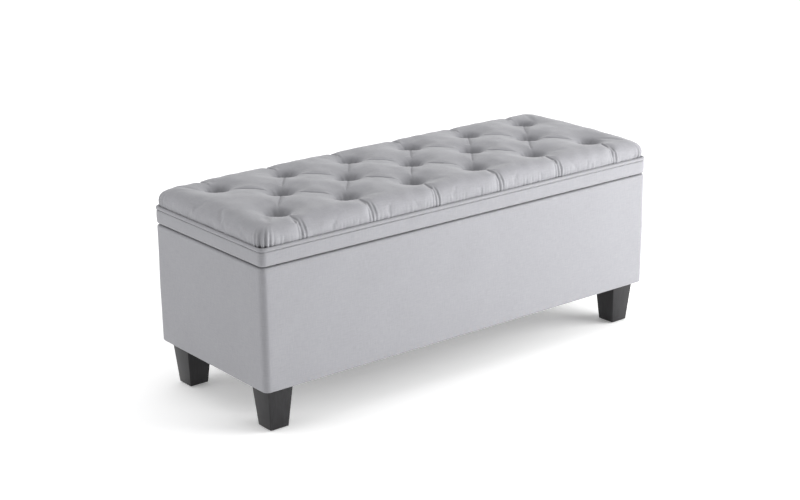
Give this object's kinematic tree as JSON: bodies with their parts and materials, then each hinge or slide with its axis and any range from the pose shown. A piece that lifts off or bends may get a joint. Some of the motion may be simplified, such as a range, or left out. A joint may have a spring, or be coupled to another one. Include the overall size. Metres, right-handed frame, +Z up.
{
  "type": "storage bench",
  "caption": "Upholstered storage bench: a fabric-covered box on tapered wood legs, with a tufted padded lid that is hinged at the back and held by a folding stay at each end.",
  "frame": {"origin": "on the floor, under the middle of the bench", "axes": "+X along the bench's length, -Y towards the front where the lid opens, +Z up"},
  "size_m": [1.223, 0.46, 0.508],
  "materials": {
    "cover_fabric": "matte",
    "espresso_wood": "satin",
    "plywood": "matte",
    "foam": "matte",
    "lining_cloth": "matte",
    "zinc_steel": "satin",
    "glide_plastic": "satin",
    "bumper_rubber": "matte"
  },
  "bodies": {
    "lid": {"back_button_row": "cover_fabric", "cushion_foam": "foam", "front_button_row": "cover_fabric", "left_hinge_lid_leaf": "zinc_steel", "left_stay_lid_bracket": "zinc_steel", "left_stay_lid_rivet": "zinc_steel", "lid_board": "plywood", "lid_boxing": "cover_fabric", "lid_under_cloth": "lining_cloth", "lid_welt": "cover_fabric", "middle_button_row": "cover_fabric", "right_hinge_lid_leaf": "zinc_steel", "right_stay_lid_bracket": "zinc_steel", "right_stay_lid_rivet": "zinc_steel", "tufted_cover": "cover_fabric"},
    "base": {"back_cleat": "plywood", "back_left_corner_block": "plywood", "back_left_glide": "glide_plastic", "back_left_hanger_bolt": "zinc_steel", "back_left_leg": "espresso_wood", "back_panel": "plywood", "back_right_corner_block": "plywood", "back_right_glide": "glide_plastic", "back_right_hanger_bolt": "zinc_steel", "back_right_leg": "espresso_wood", "base_cover": "cover_fabric", "dust_cover": "lining_cloth", "front_cleat": "plywood", "front_left_corner_block": "plywood", "front_left_glide": "glide_plastic", "front_left_hanger_bolt": "zinc_steel", "front_left_leg": "espresso_wood", "front_panel": "plywood", "front_right_corner_block": "plywood", "front_right_glide": "glide_plastic", "front_right_hanger_bolt": "zinc_steel", "front_right_leg": "espresso_wood", "left_bumper": "bumper_rubber", "left_cleat": "plywood", "left_end_panel": "plywood", "left_hinge_base_leaf": "zinc_steel", "left_hinge_pin": "zinc_steel", "left_stay_wall_plate": "zinc_steel", "right_bumper": "bumper_rubber", "right_cleat": "plywood", "right_end_panel": "plywood", "right_hinge_base_leaf": "zinc_steel", "right_hinge_pin": "zinc_steel", "right_stay_wall_plate": "zinc_steel", "storage_floor": "plywood", "storage_lining": "lining_cloth"},
    "left_stay_arm": {"left_stay_arm": "zinc_steel", "left_stay_elbow_rivet": "zinc_steel"},
    "left_stay_link": {"left_stay_link": "zinc_steel"},
    "right_stay_arm": {"right_stay_arm": "zinc_steel", "right_stay_elbow_rivet": "zinc_steel"},
    "right_stay_link": {"right_stay_link": "zinc_steel"}
  },
  "joints": [
    {"name": "lid_hinge", "type": "hinge", "parent": "base", "child": "lid", "pos_m": [0, 0.225, 0.411], "axis": [-1, 0, 0], "range_deg": [0, 85]},
    {"name": "left_stay_arm_pivot", "type": "hinge", "parent": "base", "child": "left_stay_arm", "pos_m": [-0.58, 0.165, 0.321], "axis": [-1, 0, 0], "range_deg": [0, 85]},
    {"name": "left_stay_elbow", "type": "hinge", "parent": "left_stay_arm", "child": "left_stay_link", "pos_m": [-0.58, 0.015, 0.306], "axis": [-1, 0, 0], "range_deg": [-85, 0]},
    {"name": "right_stay_arm_pivot", "type": "hinge", "parent": "base", "child": "right_stay_arm", "pos_m": [0.58, 0.165, 0.321], "axis": [-1, 0, 0], "range_deg": [0, 85]},
    {"name": "right_stay_elbow", "type": "hinge", "parent": "right_stay_arm", "child": "right_stay_link", "pos_m": [0.58, 0.015, 0.306], "axis": [-1, 0, 0], "range_deg": [-85, 0]}
  ],
  "couplings": [
    {"joint": "left_stay_arm_pivot", "follows": "lid_hinge", "ratio": 1},
    {"joint": "left_stay_elbow", "follows": "lid_hinge", "ratio": -1},
    {"joint": "right_stay_arm_pivot", "follows": "lid_hinge", "ratio": 1},
    {"joint": "right_stay_elbow", "follows": "lid_hinge", "ratio": -1}
  ]
}
